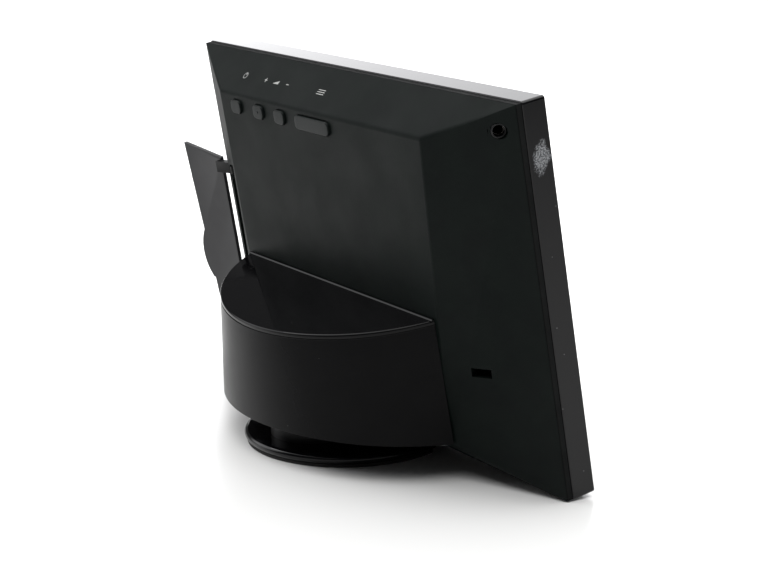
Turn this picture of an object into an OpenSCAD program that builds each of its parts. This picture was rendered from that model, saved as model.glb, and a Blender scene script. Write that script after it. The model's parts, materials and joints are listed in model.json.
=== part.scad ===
// Desktop photo frame with a drum-shaped speaker housing on its back, a round
// foot and a hinged side door over the sockets.  All sizes in millimetres.
// +Z up, the screen faces -Y, the origin lies on the table at the centre of the
// foot.

/* [Frame] */
// Width of the frame across the screen side
frame_w = 198; // [185:1:240]
// Height of the frame along its own face
frame_h = 130; // [125:1:158]
// Depth of the glossy front bezel
bezel_t = 8.5; // [8:0.5:12]
// Depth of the strip between the bezel and the rear housing
strip_t = 2.2; // [2:0.1:4]
// Lean of the frame from the vertical, in degrees
lean_a = 9; // [6:0.5:12]
// Height of the bezel's front edge above the table
front_lift = 1.7; // [1.6:0.1:3]
// Width of the picture that shows
view_w = 154; // [130:1:160]
// Height of the picture that shows
view_h = 87; // [80:1:95]

/* [Rear housing] */
// Depth of the body behind the front face, at the top
depth_top = 24.5; // [23:0.5:30]
// Depth of the body behind the front face, at the bottom
depth_low = 27.2; // [25:0.5:33]
// Slope of the two long sides, in degrees
side_a = 23; // [21:0.5:26]
// Drop from the top edge down to the ridge
ridge_drop = 11.2; // [10:0.2:14]
// Rise from the bottom edge up to the lower hip
hip_rise = 14.6; // [12:0.2:18]
// Radius of the ridge and the hips
ridge_r = 3; // [2.6:0.1:4]
// Wall of the rear housing
wall = 2; // [1.6:0.1:2.4]

/* [Buttons] */
// Width of a short button
short_w = 6.8; // [6:0.1:8]
// Width of the long menu button
long_w = 22; // [16:0.5:26]
// Height of every button
button_h = 4.8; // [4.2:0.1:5.4]
// Gap round a button
button_gap = 0.35; // [0.25:0.05:0.5]
// Travel of a button
button_travel = 0.5; // [0.3:0.05:0.6]

/* [Side door] */
// Thickness of the door panel
door_t = 1.5; // [1.2:0.1:1.8]
// Width of the door at its top end
door_top_w = 20.2; // [16:0.2:21]
// Width of the door at its bottom end
door_low_w = 14.3; // [12:0.2:18]
// Angle the door stands open from closed, in degrees
door_open_a = 143; // [90:1:146]
// Radius of the hinge pin
pin_r = 1; // [0.8:0.1:1.1]

/* [Drum and foot] */
// Radius of the drum round its back
drum_r = 76; // [70:1:80]
// Radius of the drum's two ends, where it turns in to the frame
end_r = 53; // [48:1:60]
// Height of the drum's lower edge above the table
drum_low = 13; // [12:0.5:18]
// Height of the drum's top over the drum's centre
drum_top = 64.7; // [58:0.5:72]
// Slope of the drum's top down towards the back, in degrees
cap_a = 13.3; // [8:0.5:16]
// Wall of the drum
drum_wall = 2.2; // [1.8:0.1:3]
// Radius of the foot
foot_r = 36.5; // [32:0.5:42]
// Distance of the foot's centre behind the front edge
foot_y = 31; // [28:0.5:36]

/* [Sockets] */
// Radius of the headphone bore for a 3.5 mm plug
jack_r = 1.8; // [1.76:0.02:1.9]
// Length of the lock slot
lock_w = 7.5; // [7:0.1:8]
// Height of the lock slot
lock_h = 3; // [2.8:0.1:3.4]

/* [Hidden] */

fine = 96;
eps = 0.02;
// larger than the whole frame
far = 300;
// face-to-face gap that keeps neighbouring curved pieces apart
slack = 0.15;

// ---- frame: y runs from the front face to the back, z up the leaning face
strip_in = 0.4;
strip_y = bezel_t + strip_t;
rim_x = frame_w / 2 - strip_in;
rim_top = frame_h - strip_in;
back_tilt = atan((depth_low - depth_top) / frame_h);
ridge_z = frame_h - ridge_drop;
top_a = atan((rim_top - ridge_z) / (back_y(ridge_z) - strip_y));
low_a = atan((hip_rise - strip_in) / (back_y(hip_rise) - strip_y));

// depth of the back face at height z on the frame
function back_y(z) = depth_low - (depth_low - depth_top) * z / frame_h;
// distance of the back face's edge from the rim, at height z
function side_run(z) = (back_y(z) - strip_y) / tan(side_a);

// ---- bezel and screen
bezel_r = 1;
bezel_edge = 0.35;
front_skin = 2.2;
glass_t = 1;
lcd_w = 166;
lcd_h = 101;
lcd_t = 2.6;
light_t = 2;
fit_gap = 0.25;
pocket_w = lcd_w + 2 * fit_gap;
pocket_h = lcd_h + 2 * fit_gap;
lcd_y = front_skin;
light_y = lcd_y + lcd_t;
tray_y = light_y + light_t;
tray_t = 0.8;
tray_lug = 6;
tray_lug_h = 60;
tray_screw_r = 1.1;
tray_screw_in = 9;

// ---- mid frame, with a fine seam where the rear housing meets it
ring_w = 9.4;
seam_t = 0.3;
seam_in = 0.3;

// ---- boards, to the left of the socket bay's inner wall
bay_x = rim_x - 22.6;
board_y = strip_y + 0.1;
board_t = 1.4;
board_x0 = -62;
board_x1 = bay_x - 4;
board_z0 = 22;
board_z1 = 100;
board_screw_in = 4;
// the right-hand screws stay clear of the sockets
board_screw_back = 38;
part_y = board_y + board_t;
shield_at = [-40, 50];
shield_size = [30, 2.6, 26];
chip_x = 2;
chip_z = [48, 64, 80];
chip_size = [18, 1.2, 11];
flex_x = -20;
flex_w = 26;
flex_t = 0.3;
flex_z = board_z0 - 2.3;
wire_z = 36;
wire_r = 4;

// ---- buttons, on the back face
button_z = ridge_z - 4.7;
button_x = [53.4, 37.2, 22.3, 0.2];
button_w = [short_w, short_w, short_w, long_w];
button_proud = 0.9;
flange_t = 1;
flange_w = 0.9;
switch_top = wall + slack + flange_t + button_travel + 0.1;
switch_h = 1.8;
switch_w = 4.5;
plunger_r = 1.4;
plunger_h = 0.6;
switch_board_t = 1.2;
switch_board_x = -14;
switch_board_w = 75;
switch_board_h = 6.4;

// ---- headphone jack, on the right-hand slope
jack_x = frame_w / 2 - 6.7;
jack_z = frame_h - 8.6;
jack_y = strip_y + (rim_x - jack_x) * tan(side_a);
jack_a = 61;
jack_len = 14;
jack_body_r = 3;
jack_nose_r = 2.35;
jack_nose = 2.4;
jack_deep = 0.5;

// ---- lock slot, on the right-hand slope
lock_s = 25.5;
lock_z = 41.6;
lock_plate_w = 16;
lock_plate_h = 11;
lock_plate_t = 1.2;

// ---- side door, laid out closed on the left-hand slope: s runs inwards from
// the rim, z up the frame, and depth goes in from the slope
door_s = 12;
door_z0 = 8;
door_z1 = 84.3;
door_rise = 4.7;
door_gap = 0.35;
pin_s = 3.99;
pin_d = 2.09;
eye_r = 1.7;
eye_bore = pin_r + 0.05;
arm_h = 4.3;
arm_t = 2.6;
arm_z = [door_z1 - 5.3, door_z0 + 4];
arm_gap = 0.35;
arm_in = 1.1;
lip_z = 44;
lip_out = 3.5;
lip_half = 10.5;
lip_r = (lip_half * lip_half + lip_out * lip_out) / (2 * lip_out);
pin_x = rim_x - pin_s * cos(side_a) - pin_d * sin(side_a);
pin_y = strip_y + pin_s * sin(side_a) - pin_d * cos(side_a);
pin_z0 = door_z0 + 1;
pin_z1 = door_z1 - 0.3;

// ---- socket bay behind the door
bay_s0 = door_s + 1.5;
bay_z0 = 19;
bay_z1 = 76;
// the housing is thicker round the bay, under the closed door
bay_wall = 2.9;
plate_t = 1.4;
bay_s1 = (rim_x - bay_x) / cos(side_a);
card_z = 62;
card_w = 25;
card_h = 3;
card_len = 27;
usb_z = 42;
usb_w = 13.1;
usb_h = 5.1;
usb_len = 16;
mini_z = 30;
mini_w = 6.8;
mini_h = 4;
mini_len = 9;
dc_z = 23;
dc_w = 5.8;
dc_h = 5.1;
dc_len = 11;
dc_bore_r = 1.9;
dc_pin_r = 0.65;
shell_t = 0.4;

// ---- drum, upright, its axis behind the screen
drum_y = -6 - foot_y;
end_a = 31;
end_out = drum_r - end_r + 0.15;
cap_t = 1.4;
cap_edge_in = 0.5;
cap_edge_t = 0.5;
cap_groove = 0.3;
drum_seam = 0.1;
floor_t = 2.4;
floor_up = 0.4;
post_r = 3;
post_h = 14;
post_z = drum_low + floor_up + floor_t + slack;
floor_screw_r = 1.2;
floor_screws_at = [for (p = [[-50, 47], [-18, 66], [18, 66], [50, 47]]) [p[0], drum_y + p[1]]];
stem_r = 15;
stem_y = 14;
foot_cut = 17 - foot_y;
pad_t = 1.2;
pad_in = 0.9;
foot_t = 3;
foot_screws_at = [[-8, 9], [8, 9], [0, 22]];
foot_screw_r = 1.3;
front_pad_x = 70;
front_pad_size = [28, 5.4, 0.42];
front_pad_y = 2.5;

// ---- speakers, in the drum, facing down
speaker_x = 34;
speaker_y = drum_y + 49.5;
speaker_r = 11.5;
magnet_r = 7;

// ------------------------------------------------------------------ helpers

// puts a piece of the frame at its lean
module lean() {
    translate([0, -foot_y, front_lift]) rotate([-lean_a, 0, 0]) children();
}

// x across, y out of the back face, z up the back face
module on_back() {
    translate([0, depth_low, 0]) rotate([back_tilt, 0, 0]) children();
}

// x along the left-hand slope from the rim, y into the body, z up
module on_slope() {
    translate([rim_x, strip_y, 0]) rotate([0, 0, 180 - side_a]) children();
}

// the same place as on_slope, as x and y on the frame
function slope_at(s, d) = [rim_x - s * cos(side_a) - d * sin(side_a),
    strip_y + s * sin(side_a) - d * cos(side_a)];

// a flat shape in x and z, thick from y0 to y1
module upright(y0, y1) {
    translate([0, y1, 0]) rotate([90, 0, 0]) linear_extrude(y1 - y0) children();
}

// a round bar along y
module bar_y(x, y0, y1, z, r) {
    translate([x, y0, z]) rotate([-90, 0, 0]) cylinder(r = r, h = y1 - y0, $fn = fine);
}

// a flat shape with round ends
module stadium(w, h) {
    square([w - h, h], center = true);
    for (side = [-1, 1]) translate([side * (w - h) / 2, 0]) circle(d = h, $fn = fine);
}

// a centred rectangle from its size
module plate(w, h) {
    square([w, h], center = true);
}

// a screw: its head up to z = 0, its shank below
module screw(r, head_r, head_h, length) {
    difference() {
        union() {
            translate([0, 0, -head_h]) cylinder(r = head_r, h = head_h, $fn = fine);
            translate([0, 0, -length]) cylinder(r = r, h = length - head_h + eps, $fn = fine);
        }
        translate([0, 0, -head_h / 2]) for (turn = [0, 90]) rotate([0, 0, turn])
            translate([-head_r * 0.6, -0.25, 0]) cube([head_r * 1.2, 0.5, head_h]);
    }
}

// everything in front of the back face, which the drum is cut away by
module front_half(gap) {
    lean() on_back() translate([-far, -far + gap, -far]) cube([2 * far, far, 3 * far]);
}

// everything above the sloping plane at the drum's top, lowered by drop
module above_cap(drop) {
    translate([0, drum_y, drum_top - drop]) rotate([-cap_a, 0, 0])
        translate([-far, -far, 0]) cube(2 * far);
}

// ------------------------------------------------------------------ screen

module bezel_slab() {
    hull() for (x = [-1, 1], z = [0, 1]) {
        corner_x = x * (frame_w / 2 - bezel_r);
        corner_z = bezel_r + z * (frame_h - 2 * bezel_r);
        bar_y(corner_x, 0, bezel_t, corner_z, bezel_r - bezel_edge);
        bar_y(corner_x, bezel_edge, bezel_t - bezel_edge, corner_z, bezel_r);
    }
}

module front_bezel() {
    color("#101012") lean() difference() {
        bezel_slab();
        translate([0, 0, frame_h / 2]) {
            upright(-1, bezel_t) plate(view_w, view_h);
            upright(front_skin - glass_t, bezel_t) plate(view_w + 6, view_h + 6);
            upright(front_skin, bezel_t + 1) plate(pocket_w, pocket_h);
        }
        tray_screw_places() bar_y(0, light_y, bezel_t + 1, 0, tray_screw_r);
        for (x = [-1, 1]) translate([x * (pocket_w / 2 + tray_lug / 2), 0, frame_h / 2])
            upright(tray_y - slack, bezel_t + 1) plate(tray_lug + 2, tray_lug_h + 2);
        jack_clearance();
    }
}

module front_window() {
    color([0.55, 0.6, 0.62, 0.4]) lean() translate([0, 0, frame_h / 2])
        upright(front_skin - glass_t, front_skin)
            plate(view_w + 6 - 2 * fit_gap, view_h + 6 - 2 * fit_gap);
}

module lcd_panel() {
    color("#15171b") lean() translate([0, 0, frame_h / 2])
        upright(lcd_y, light_y) plate(lcd_w, lcd_h);
}

module lcd_backlight() {
    color("#e8e8e2") lean() translate([0, 0, frame_h / 2])
        upright(light_y, tray_y) plate(lcd_w, lcd_h);
}

// the four places of the screws that hold the screen's tray
module tray_screw_places() {
    for (x = [-1, 1], z = [-1, 1])
        translate([x * (pocket_w / 2 + tray_lug / 2), 0, frame_h / 2 + z * (tray_lug_h / 2 - tray_screw_in)])
            children();
}

module lcd_tray() {
    color("#b9bdc0") lean() difference() {
        translate([0, 0, frame_h / 2]) {
            upright(tray_y, tray_y + tray_t) plate(lcd_w, lcd_h);
            upright(tray_y, tray_y + tray_t) plate(pocket_w + 2 * tray_lug, tray_lug_h);
        }
        tray_screw_places() bar_y(0, 0, 20, 0, tray_screw_r);
    }
}

module tray_screws() {
    color("#8c8f92") lean() tray_screw_places()
        translate([0, tray_y + tray_t + 0.8, 0]) rotate([-90, 0, 0])
            screw(tray_screw_r - 0.05, 1.9, 0.8, 3.2);
}

// ------------------------------------------------------------------ body

module mid_frame() {
    color("#1a1a1c") lean() difference() {
        translate([0, 0, frame_h / 2]) difference() {
            union() {
                upright(bezel_t, strip_y - seam_t)
                    plate(frame_w - 2 * strip_in, frame_h - 2 * strip_in);
                upright(strip_y - seam_t - eps, strip_y)
                    plate(frame_w - 2 * (strip_in + seam_in), frame_h - 2 * (strip_in + seam_in));
            }
            upright(bezel_t - 1, strip_y + 1) plate(frame_w - 2 * ring_w, frame_h - 2 * ring_w);
        }
        hinge_cuts();
        jack_clearance();
    }
}

// the solid that the rear housing is a shell of, drawn in by d on every face
module housing_form(d) {
    in_x = d / sin(side_a);
    in_top = d / sin(top_a);
    in_low = d / sin(low_a);
    forward = d > 0 ? 1 : 0;
    hull() {
        translate([-rim_x + in_x, strip_y - forward, strip_in + in_low])
            cube([2 * (rim_x - in_x), forward + eps, rim_top - strip_in - in_low - in_top]);
        for (side = [-1, 1]) {
            form_corner(side, ridge_z, d, -1, top_a);
            form_corner(side, hip_rise, d, 1, low_a);
        }
    }
}

// one round corner of that solid, touching the back, the side and the slope
module form_corner(side, z, d, up, slope) {
    back_off = ridge_r * tan((90 - slope) / 2);
    side_off = ridge_r * tan(side_a / 2);
    translate([side * (rim_x - side_run(z) - side_off), back_y(z) - ridge_r, z + up * back_off])
        sphere(r = ridge_r - d, $fn = 40);
}

module button_outline(i, grow) {
    stadium(button_w[i] + 2 * grow, button_h + 2 * grow);
}

// the whole place of button i on the back face
module at_button(i) {
    on_back() translate([button_x[i], 0, button_z]) children();
}

module jack_axis() {
    translate([-jack_x, jack_y, jack_z]) rotate([0, 0, jack_a - 90])
        rotate([0, -90, 0]) children();
}

// room for the headphone jack's barrel in the pieces in front of the housing
module jack_clearance() {
    jack_axis() translate([0, 0, -jack_len - 2.6])
        cylinder(r = jack_body_r + fit_gap, h = jack_len + 4, $fn = fine);
}

// outline of the closed door in s and z, grown by g all round
module door_outline(g) {
    polygon([[door_s - g, door_z0 - g], [door_s + door_low_w + g, door_z0 - 2 - g],
        [door_s + door_top_w + g, door_z1 + door_rise + g], [door_s - g, door_z1 + g]]);
    lip_s = door_s + door_low_w
        + (door_top_w - door_low_w) * (lip_z - door_z0) / (door_z1 + door_rise - door_z0);
    translate([lip_s + lip_out - lip_r, lip_z]) intersection() {
        circle(r = lip_r + g, $fn = fine);
        translate([0, -lip_half - g]) square([2 * lip_r, 2 * (lip_half + g)]);
    }
}

// the channel for the hinge pin, and a way in from the side for each arm
module hinge_cuts() {
    notch_d = pin_d + arm_t / 2 + arm_gap;
    notch_x = pin_x - eye_r - arm_gap;
    notch_s = (rim_x - notch_d * sin(side_a) - notch_x) / cos(side_a);
    translate([pin_x, pin_y, pin_z0 - slack])
        cylinder(r = pin_r + 0.02, h = pin_z1 - pin_z0 + 2 * slack, $fn = fine);
    for (z = arm_z) translate([0, 0, z - arm_gap]) linear_extrude(arm_h + 2 * arm_gap)
        polygon([slope_at(-8, -2), slope_at(door_s + arm_in + arm_gap, -2),
            slope_at(door_s + arm_in + arm_gap, notch_d),
            slope_at(notch_s, notch_d), [notch_x, bezel_t - 1], [rim_x + 5, bezel_t - 1]]);
}

module rear_housing() {
    color("#242426") lean() difference() {
        union() {
            difference() {
                housing_form(0);
                housing_form(wall);
            }
            intersection() {
                housing_form(0);
                on_slope() translate([pin_s + 2.4, 0, door_z0 - 4])
                    cube([door_s + door_top_w - pin_s, bay_wall, door_z1 - door_z0 + 12]);
            }
        }
        for (i = [0:3]) at_button(i) upright(-wall - 1.5, 2) button_outline(i, button_gap);
        jack_axis() translate([0, 0, -12])
            cylinder(r = jack_nose_r + slack, h = 20, $fn = fine);
        jack_axis() translate([0, 0, -jack_len - 3])
            cylinder(r = jack_body_r + fit_gap, h = jack_len + 3 - jack_nose, $fn = fine);
        mirror([1, 0, 0]) on_slope() translate([lock_s, -1, lock_z])
            cube_centred(lock_w, wall + 3, lock_h);
        on_slope() upright(-2, door_t + 0.1) door_outline(door_gap);
        on_slope() translate([bay_s0, -1, bay_z0])
            cube([bay_s1 - bay_s0, bay_wall + 3, bay_z1 - bay_z0]);
        hinge_cuts();
        bar_y(0, depth_low - 8, depth_low + 2, wire_z, wire_r);
    }
}

// a box centred in x and z, from y = 0 up
module cube_centred(w, t, h) {
    translate([-w / 2, 0, -h / 2]) cube([w, t, h]);
}

// ------------------------------------------------------------------ boards

module board_screw_places() {
    for (x = [board_x0 + board_screw_in, board_x1 - board_screw_back],
         z = [board_z0 + board_screw_in, board_z1 - board_screw_in])
        translate([x, 0, z]) children();
}

module main_board() {
    color("#1d5a3a") lean() difference() {
        translate([board_x0, board_y, board_z0])
            cube([board_x1 - board_x0, board_t, board_z1 - board_z0]);
        board_screw_places() bar_y(0, board_y - 1, board_y + board_t + 1, 0, 1.3);
    }
}

module board_screws() {
    color("#8c8f92") lean() board_screw_places()
        translate([0, part_y + 1, 0]) rotate([-90, 0, 0]) screw(1.2, 2.4, 1, 4.6);
}

module processor_shield() {
    color("#c6c9cb") lean() difference() {
        translate([shield_at[0], part_y, shield_at[1]]) cube(shield_size);
        translate([shield_at[0] + shell_t, part_y - 1, shield_at[1] + shell_t])
            cube(shield_size + [-2 * shell_t, 1 - shell_t, -2 * shell_t]);
    }
}

module memory_chips() {
    color("#17181a") lean() for (z = chip_z)
        translate([chip_x, part_y, z]) cube(chip_size);
}

module lcd_flex() {
    color("#b5752a") lean() {
        translate([flex_x, tray_y + tray_t, flex_z - 4.7]) cube([flex_w, flex_t, 5]);
        translate([flex_x, tray_y + tray_t, flex_z])
            cube([flex_w, part_y - tray_y - tray_t, flex_t]);
        translate([flex_x, part_y, flex_z]) cube([flex_w, flex_t, 8]);
    }
}

module button_board() {
    color("#1d5a3a") lean() on_back()
        translate([switch_board_x, -switch_top - plunger_h - switch_h - switch_board_t,
            button_z - switch_board_h / 2])
            cube([switch_board_w, switch_board_t, switch_board_h]);
}

module tact_switches() {
    color("#c9ccce") lean() for (i = [0:3]) at_button(i) {
        translate([0, -switch_top - plunger_h - switch_h, 0])
            cube_centred(switch_w, switch_h, switch_w);
        bar_y(0, -switch_top - plunger_h - eps, -switch_top, 0, plunger_r);
    }
}

module push_button(i) {
    lean() at_button(i) {
        upright(-wall - slack, button_proud) button_outline(i, 0);
        upright(-wall - slack - flange_t, -wall - slack) button_outline(i, flange_w);
    }
}

module sleep_button() {
    color("#28282b") push_button(0);
}

module volume_up_button() {
    color("#28282b") push_button(1);
}

module volume_down_button() {
    color("#28282b") push_button(2);
}

module menu_button() {
    color("#28282b") push_button(3);
}

// ------------------------------------------------------------------ sockets

module headphone_jack() {
    color("#9a9c9f") lean() jack_axis() difference() {
        union() {
            translate([0, 0, -jack_len - 1.6 - jack_deep])
                cylinder(r = jack_body_r, h = jack_len + 1.6 - jack_nose - slack, $fn = fine);
            translate([0, 0, -jack_nose - jack_deep - slack - eps])
                cylinder(r = jack_nose_r, h = jack_nose + slack + eps, $fn = fine);
        }
        translate([0, 0, -jack_len - jack_deep])
            cylinder(r = jack_r, h = jack_len + 1, $fn = fine);
    }
}

module lock_plate() {
    color("#8a8d90") lean() mirror([1, 0, 0]) on_slope()
        translate([lock_s, wall + 0.05, lock_z]) difference() {
            cube_centred(lock_plate_w, lock_plate_t, lock_plate_h);
            translate([0, -1, 0]) cube_centred(lock_w, lock_plate_t + 2, lock_h);
        }
}

// a socket's opening in the tray that faces the bay
module socket_cut(z, w, h) {
    translate([bay_x - plate_t - 1, part_y, z - w / 2]) cube([plate_t + 2, h, w]);
}

module socket_tray() {
    tray_top = strip_y + (rim_x - bay_x) * tan(side_a) - bay_wall / cos(side_a) - 0.2;
    color("#1a1a1c") lean() difference() {
        union() {
            translate([bay_x - plate_t, board_y, bay_z0 - 1])
                cube([plate_t, tray_top - board_y, bay_z1 - bay_z0 + 2]);
            translate([bay_x - eps, board_y, bay_z0 - 1])
                cube([10, 1, bay_z1 - bay_z0 + 2]);
        }
        socket_cut(card_z, card_w, card_h);
        socket_cut(usb_z, usb_w, usb_h);
        socket_cut(mini_z, mini_w, mini_h);
        socket_cut(dc_z, dc_w, dc_h);
    }
}

// a pressed metal socket shell, open towards the bay
module socket_shell(z, w, h, length) {
    translate([bay_x - plate_t - slack - length, part_y, z - w / 2]) difference() {
        cube([length, h, w]);
        translate([1, shell_t, shell_t]) cube([length, h - 2 * shell_t, w - 2 * shell_t]);
    }
}

module card_socket() {
    color("#c6c9cb") lean() socket_shell(card_z, card_w, card_h, card_len);
}

module usb_port() {
    color("#c6c9cb") lean() {
        socket_shell(usb_z, usb_w, usb_h, usb_len);
        translate([bay_x - plate_t - slack - usb_len, part_y + usb_h / 2, usb_z - usb_w / 2 + 1])
            cube([usb_len - 2, 1.4, usb_w - 2]);
    }
}

module mini_usb_port() {
    color("#c6c9cb") lean() socket_shell(mini_z, mini_w, mini_h, mini_len);
}

module dc_inlet() {
    mouth = bay_x - plate_t - slack;
    color("#151517") lean() {
        difference() {
            translate([mouth - dc_len, part_y, dc_z - dc_w / 2]) cube([dc_len, dc_h, dc_w]);
            translate([mouth - dc_len + 2, part_y + dc_h / 2, dc_z]) rotate([0, 90, 0])
                cylinder(r = dc_bore_r, h = dc_len, $fn = fine);
        }
        translate([mouth - dc_len + 1, part_y + dc_h / 2, dc_z]) rotate([0, 90, 0])
            cylinder(r = dc_pin_r, h = dc_len - 2, $fn = fine);
    }
}

// ------------------------------------------------------------------ door

module door_pin() {
    color("#a4a7aa") lean() translate([pin_x, pin_y, pin_z0])
        cylinder(r = pin_r, h = pin_z1 - pin_z0, $fn = fine);
}

// an arm of the door from above: a round eye with a flat bar to the panel
module arm_outline() {
    near_d = pin_d - arm_t / 2;
    far_d = pin_d + arm_t / 2;
    translate([pin_x, pin_y]) circle(r = eye_r, $fn = fine);
    polygon([slope_at(pin_s, near_d), slope_at(door_s + arm_in, near_d),
        slope_at(door_s + arm_in, far_d), slope_at(pin_s, far_d)]);
}

// the door as it lies when closed
module door_closed() {
    difference() {
        union() {
            on_slope() upright(0, door_t) door_outline(0);
            for (z = arm_z) translate([0, 0, z]) linear_extrude(arm_h) arm_outline();
        }
        for (z = arm_z) translate([pin_x, pin_y, z - 1])
            cylinder(r = eye_bore, h = arm_h + 2, $fn = fine);
    }
}

module side_door() {
    color("#3c3c3f") lean() translate([pin_x, pin_y, 0]) rotate([0, 0, -door_open_a])
        translate([-pin_x, -pin_y, 0]) door_closed();
}

// ------------------------------------------------------------------ drum

// a prism on the drum's plan drawn in by d: one arc round the back and a smaller
// one at each end
module drum_prism(d, h) {
    half = drum_r * sin(end_a);
    translate([0, drum_y, 0]) intersection() {
        cylinder(r = drum_r - d, h = h, $fn = fine);
        union() {
            for (side = [-1, 1]) translate([side * end_out * sin(end_a), end_out * cos(end_a), 0])
                cylinder(r = end_r - d, h = h, $fn = fine);
            translate([-half, 0, 0]) cube([2 * half, drum_r + 5, h]);
        }
    }
}

// distance from the drum's centre to its outline, out_a round from the back
function drum_reach(out_a) = let (past = abs(out_a) - end_a)
    min(drum_r, end_out * cos(past) + sqrt(end_r * end_r - pow(end_out * sin(past), 2)));

// that plan from z0 up to the slope lowered by drop
module drum_form(d, z0, drop) {
    difference() {
        translate([0, 0, z0]) drum_prism(d, drum_top + 30);
        above_cap(drop);
    }
}

module drum_shell() {
    color("#2e2e31") difference() {
        drum_form(0, drum_low, cap_t + cap_groove);
        drum_form(drum_wall, drum_low - 1, -20);
        front_half(slack);
    }
    color("#2e2e31") difference() {
        for (p = floor_screws_at) translate([p[0], p[1], post_z])
            cylinder(r = post_r, h = post_h, $fn = fine);
        for (p = floor_screws_at) translate([p[0], p[1], drum_low])
            cylinder(r = floor_screw_r, h = post_h, $fn = fine);
    }
    color("#2e2e31") for (p = floor_screws_at) {
        out_a = atan2(p[0], p[1] - drum_y);
        reach = norm([p[0], p[1] - drum_y]);
        translate([0, drum_y, post_z + 1]) rotate([0, 0, -out_a])
            translate([-0.8, reach + post_r - 0.4, 0])
                cube([1.6, drum_reach(out_a) - drum_wall / 2 - reach - post_r + 0.4, post_h - 3]);
    }
}

module drum_cap() {
    color("#121214") difference() {
        union() {
            cap_slab(0, cap_edge_t, cap_edge_in);
            cap_slab(cap_edge_t, cap_t, 0);
            cap_slab(cap_t, cap_t + cap_groove - drum_seam, cap_groove);
            cap_slab(cap_t + cap_groove - drum_seam, cap_t + 4, drum_wall + slack);
        }
        cap_slab(cap_t, cap_t + 10, drum_wall + slack + 1.6);
        front_half(slack);
    }
}

// the drum's outline between two planes parallel to the slope
module cap_slab(drop0, drop1, d) {
    intersection() {
        drum_prism(d, drum_top + 30);
        translate([0, drum_y, drum_top - drop1]) rotate([-cap_a, 0, 0])
            translate([-far, 0, 0]) cube([2 * far, far, drop1 - drop0]);
    }
}

module drum_floor() {
    color("#1c1c1e") difference() {
        translate([0, 0, drum_low + floor_up]) drum_prism(drum_wall + slack, floor_t);
        front_half(slack);
        for (p = floor_screws_at) translate([p[0], p[1], 0]) {
            cylinder(r = floor_screw_r + 0.2, h = 60, $fn = fine);
            cylinder(r = 2.5, h = drum_low + floor_up + 0.95, $fn = fine);
        }
        for (p = foot_screws_at) translate([p[0], p[1], 0])
            cylinder(r = foot_screw_r + 0.1, h = 60, $fn = fine);
        for (side = [-1, 1], i = [-3:3]) translate([side * speaker_x + i * 2.8, speaker_y, drum_low - 1])
            linear_extrude(floor_t + 3) rotate([0, 0, 90])
                stadium(2 * sqrt(speaker_r * speaker_r - 9 - i * i * 7.84 * 0.9), 1.5);
    }
}

module floor_screws() {
    color("#8c8f92") for (p = floor_screws_at)
        translate([p[0], p[1], drum_low + floor_up]) rotate([180, 0, 0])
            screw(floor_screw_r - 0.05, 2.3, 0.9, 9);
}

module at_speaker(side) {
    translate([side * speaker_x, speaker_y, drum_low + floor_up + floor_t]) children();
}

module speaker_basket() {
    rotate_extrude($fn = fine) polygon([[speaker_r - 2.2, 0], [speaker_r, 0], [speaker_r, 1.6],
        [magnet_r + 1, 7], [magnet_r + 1, 8], [magnet_r - 2, 8], [magnet_r - 2, 7],
        [magnet_r, 6.4], [speaker_r - 1.4, 1.4], [speaker_r - 2.2, 1.4]]);
}

module speaker_cone() {
    rotate_extrude($fn = fine) polygon([[0, 3.2], [2.6, 3], [3, 3.6], [speaker_r - 3.2, 0.5],
        [speaker_r - 2.4, 0.3], [speaker_r - 2.4, 0.7], [speaker_r - 3.2, 0.9], [3, 4.2], [0, 3.7]]);
}

module speaker_magnet() {
    translate([0, 0, 8]) cylinder(r = magnet_r, h = 5, $fn = fine);
    translate([0, 0, 5]) cylinder(r = 2.4, h = 3 + eps, $fn = fine);
}

module left_speaker_basket() {
    color("#55585b") at_speaker(1) speaker_basket();
}

module left_speaker_cone() {
    color("#1b1b1d") at_speaker(1) speaker_cone();
}

module left_speaker_magnet() {
    color("#77797c") at_speaker(1) speaker_magnet();
}

module right_speaker_basket() {
    color("#55585b") at_speaker(-1) speaker_basket();
}

module right_speaker_cone() {
    color("#1b1b1d") at_speaker(-1) speaker_cone();
}

module right_speaker_magnet() {
    color("#77797c") at_speaker(-1) speaker_magnet();
}

// ------------------------------------------------------------------ foot

// everything behind the frame's lower edge, where the foot may stand
module behind_frame() {
    translate([-far, foot_cut, -5]) cube([2 * far, far, far]);
}

module foot_stem() {
    color("#161618") difference() {
        translate([0, stem_y, pad_t + foot_t])
            cylinder(r = stem_r, h = drum_low + floor_up - pad_t - foot_t, $fn = fine);
        for (p = foot_screws_at) translate([p[0], p[1], 0])
            cylinder(r = foot_screw_r + 0.1, h = 60, $fn = fine);
    }
}

module foot_plate() {
    rim_r = foot_t / 2;
    color("#121214") difference() {
        intersection() {
            translate([0, 0, pad_t]) rotate_extrude($fn = fine)
                polygon(concat([[0, foot_t], [0, 0]], [for (a = [-90:15:90])
                    [foot_r - rim_r + rim_r * cos(a), rim_r + rim_r * sin(a)]]));
            behind_frame();
        }
        for (p = foot_screws_at) translate([p[0], p[1], 0])
            cylinder(r = foot_screw_r + 0.1, h = 60, $fn = fine);
    }
}

module foot_pad() {
    color("#2b2b2b") intersection() {
        difference() {
            cylinder(r = foot_r - pad_in, h = pad_t, $fn = fine);
            for (p = foot_screws_at) translate([p[0], p[1], -1]) cylinder(r = 3, h = 9, $fn = fine);
        }
        translate([-far, foot_cut + pad_in, -5]) cube([2 * far, far, far]);
    }
}

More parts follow.
